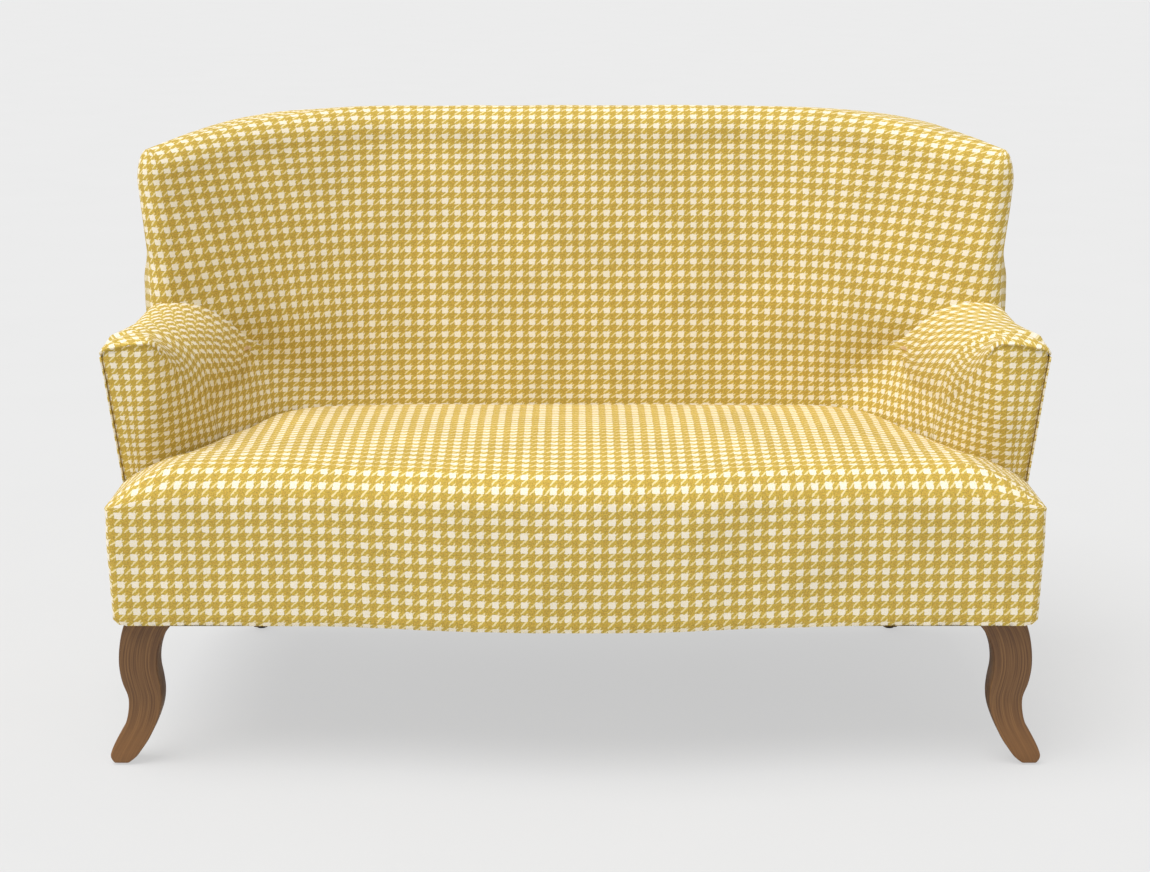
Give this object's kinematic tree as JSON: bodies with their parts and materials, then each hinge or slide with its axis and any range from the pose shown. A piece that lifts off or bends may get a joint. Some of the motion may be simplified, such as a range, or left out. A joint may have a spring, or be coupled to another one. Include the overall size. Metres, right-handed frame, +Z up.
{
  "type": "high back settee",
  "caption": "High back settee with a bowed sprung seat, short forward wings, flared padded arms, tight woven covers over a timber frame and S-curved front legs.",
  "frame": {"origin": "on the floor under the middle of the settee's box, in the plane of the glides' soles", "axes": "+X along the seat to the right arm as seen from the front, +Y from the front to the back, +Z up"},
  "size_m": [1.502, 0.8278, 0.966],
  "materials": {
    "cover_cloth": "woven houndstooth",
    "dust_cloth": "matte",
    "padding": "soft matte",
    "leg_timber": "stained satin",
    "frame_timber": "sawn, unfinished",
    "glide": "matte",
    "steel": "plain",
    "jute": "coarse woven"
  },
  "bodies": {
    "root": {"seat_cover": "cover_cloth", "inside_back_cover": "cover_cloth", "right_arm_cover": "cover_cloth", "left_arm_cover": "cover_cloth", "outside_back_cover": "cover_cloth", "right_outside_side_cover": "cover_cloth", "left_outside_side_cover": "cover_cloth", "dust_cover": "dust_cloth", "seat_foam": "padding", "back_foam": "padding", "right_arm_foam": "padding", "left_arm_foam": "padding", "right_front_leg": "leg_timber", "left_front_leg": "leg_timber", "right_rear_leg": "leg_timber", "left_rear_leg": "leg_timber", "right_front_glide": "glide", "left_front_glide": "glide", "right_rear_glide": "glide", "left_rear_glide": "glide", "right_front_leg_bolt": "steel", "left_front_leg_bolt": "steel", "right_rear_leg_bolt": "steel", "left_rear_leg_bolt": "steel", "front_seat_rail": "frame_timber", "rear_seat_rail": "frame_timber", "right_side_rail": "frame_timber", "left_side_rail": "frame_timber", "seat_stretcher": "frame_timber", "right_front_corner_block": "frame_timber", "left_front_corner_block": "frame_timber", "right_rear_corner_block": "frame_timber", "left_rear_corner_block": "frame_timber", "right_back_post": "frame_timber", "left_back_post": "frame_timber", "crest_rail": "frame_timber", "back_tack_rail": "frame_timber", "right_wing_post": "frame_timber", "left_wing_post": "frame_timber", "right_wing_top_rail": "frame_timber", "left_wing_top_rail": "frame_timber", "right_arm_board": "frame_timber", "left_arm_board": "frame_timber", "right_arm_front_post": "frame_timber", "left_arm_front_post": "frame_timber", "right_arm_tack_rail": "frame_timber", "left_arm_tack_rail": "frame_timber", "seat_spring_1": "steel", "seat_spring_2": "steel", "seat_spring_3": "steel", "seat_spring_4": "steel", "seat_spring_5": "steel", "seat_spring_6": "steel", "front_spring_strip": "steel", "rear_spring_strip": "steel", "platform_cloth": "jute", "back_webbing_1": "jute", "back_webbing_2": "jute", "back_webbing_3": "jute", "back_webbing_4": "jute"}
  },
  "joints": []
}
